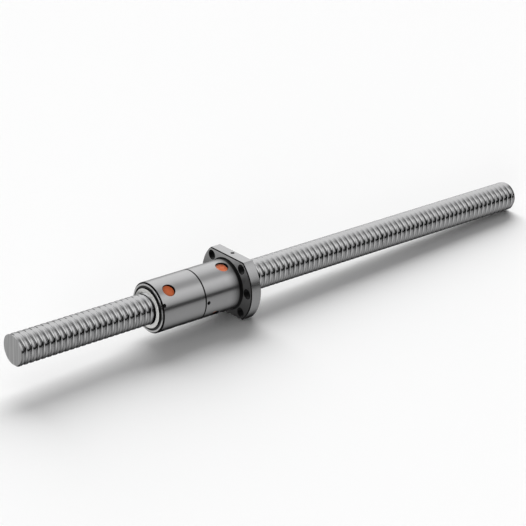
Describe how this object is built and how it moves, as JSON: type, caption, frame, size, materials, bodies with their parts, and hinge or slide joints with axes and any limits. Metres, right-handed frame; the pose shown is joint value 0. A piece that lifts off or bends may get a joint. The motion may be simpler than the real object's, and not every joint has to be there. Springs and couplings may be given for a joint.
{
  "type": "ball screw",
  "caption": "Ground ball screw with a flanged, preloaded double ball nut: the nut travels along the screw as it turns on recirculating balls.",
  "frame": {"origin": "where the screw's axis meets the flange's mounting face", "axes": "+X along the screw from its short end, at the barrel nut, to its long end; +Z square to the flange's flats, through the oil port"},
  "size_m": [0.505, 0.062, 0.048],
  "materials": {
    "screw_steel": "ground and hardened bearing steel",
    "nut_steel": "satin ground bearing steel",
    "ball_steel": "polished bearing steel",
    "black_steel": "black oxide steel",
    "deflector_plastic": "moulded orange plastic",
    "wiper_plastic": "turned off-white plastic"
  },
  "bodies": {
    "screw": {"screw_shaft": "screw_steel"},
    "spacer": {"preload_shim": "nut_steel"},
    "nut": {"flange_nut": "nut_steel", "barrel_nut": "nut_steel", "alignment_pin": "ball_steel", "alignment_set_screw": "black_steel", "front_wiper": "wiper_plastic", "front_wiper_set_screw": "black_steel", "rear_wiper": "wiper_plastic", "flange_deflector_1": "deflector_plastic", "flange_balls_1": "ball_steel", "flange_deflector_2": "deflector_plastic", "flange_balls_2": "ball_steel", "flange_deflector_3": "deflector_plastic", "flange_balls_3": "ball_steel", "barrel_deflector_1": "deflector_plastic", "barrel_balls_1": "ball_steel", "barrel_deflector_2": "deflector_plastic", "barrel_balls_2": "ball_steel", "barrel_deflector_3": "deflector_plastic", "barrel_balls_3": "ball_steel"}
  },
  "joints": [
    {"name": "nut_travel", "type": "slide", "parent": "screw", "child": "spacer", "axis": [1, 0, 0], "range_m": [-0.115, 0.29]},
    {"name": "nut_turn", "type": "hinge", "parent": "spacer", "child": "nut", "pos_m": [0, 0, 0], "axis": [1, 0, 0], "range_deg": [-8280, 20880]}
  ],
  "couplings": [
    {"joint": "nut_travel", "follows": "nut_turn", "m_per_rad": 0.00079577}
  ]
}
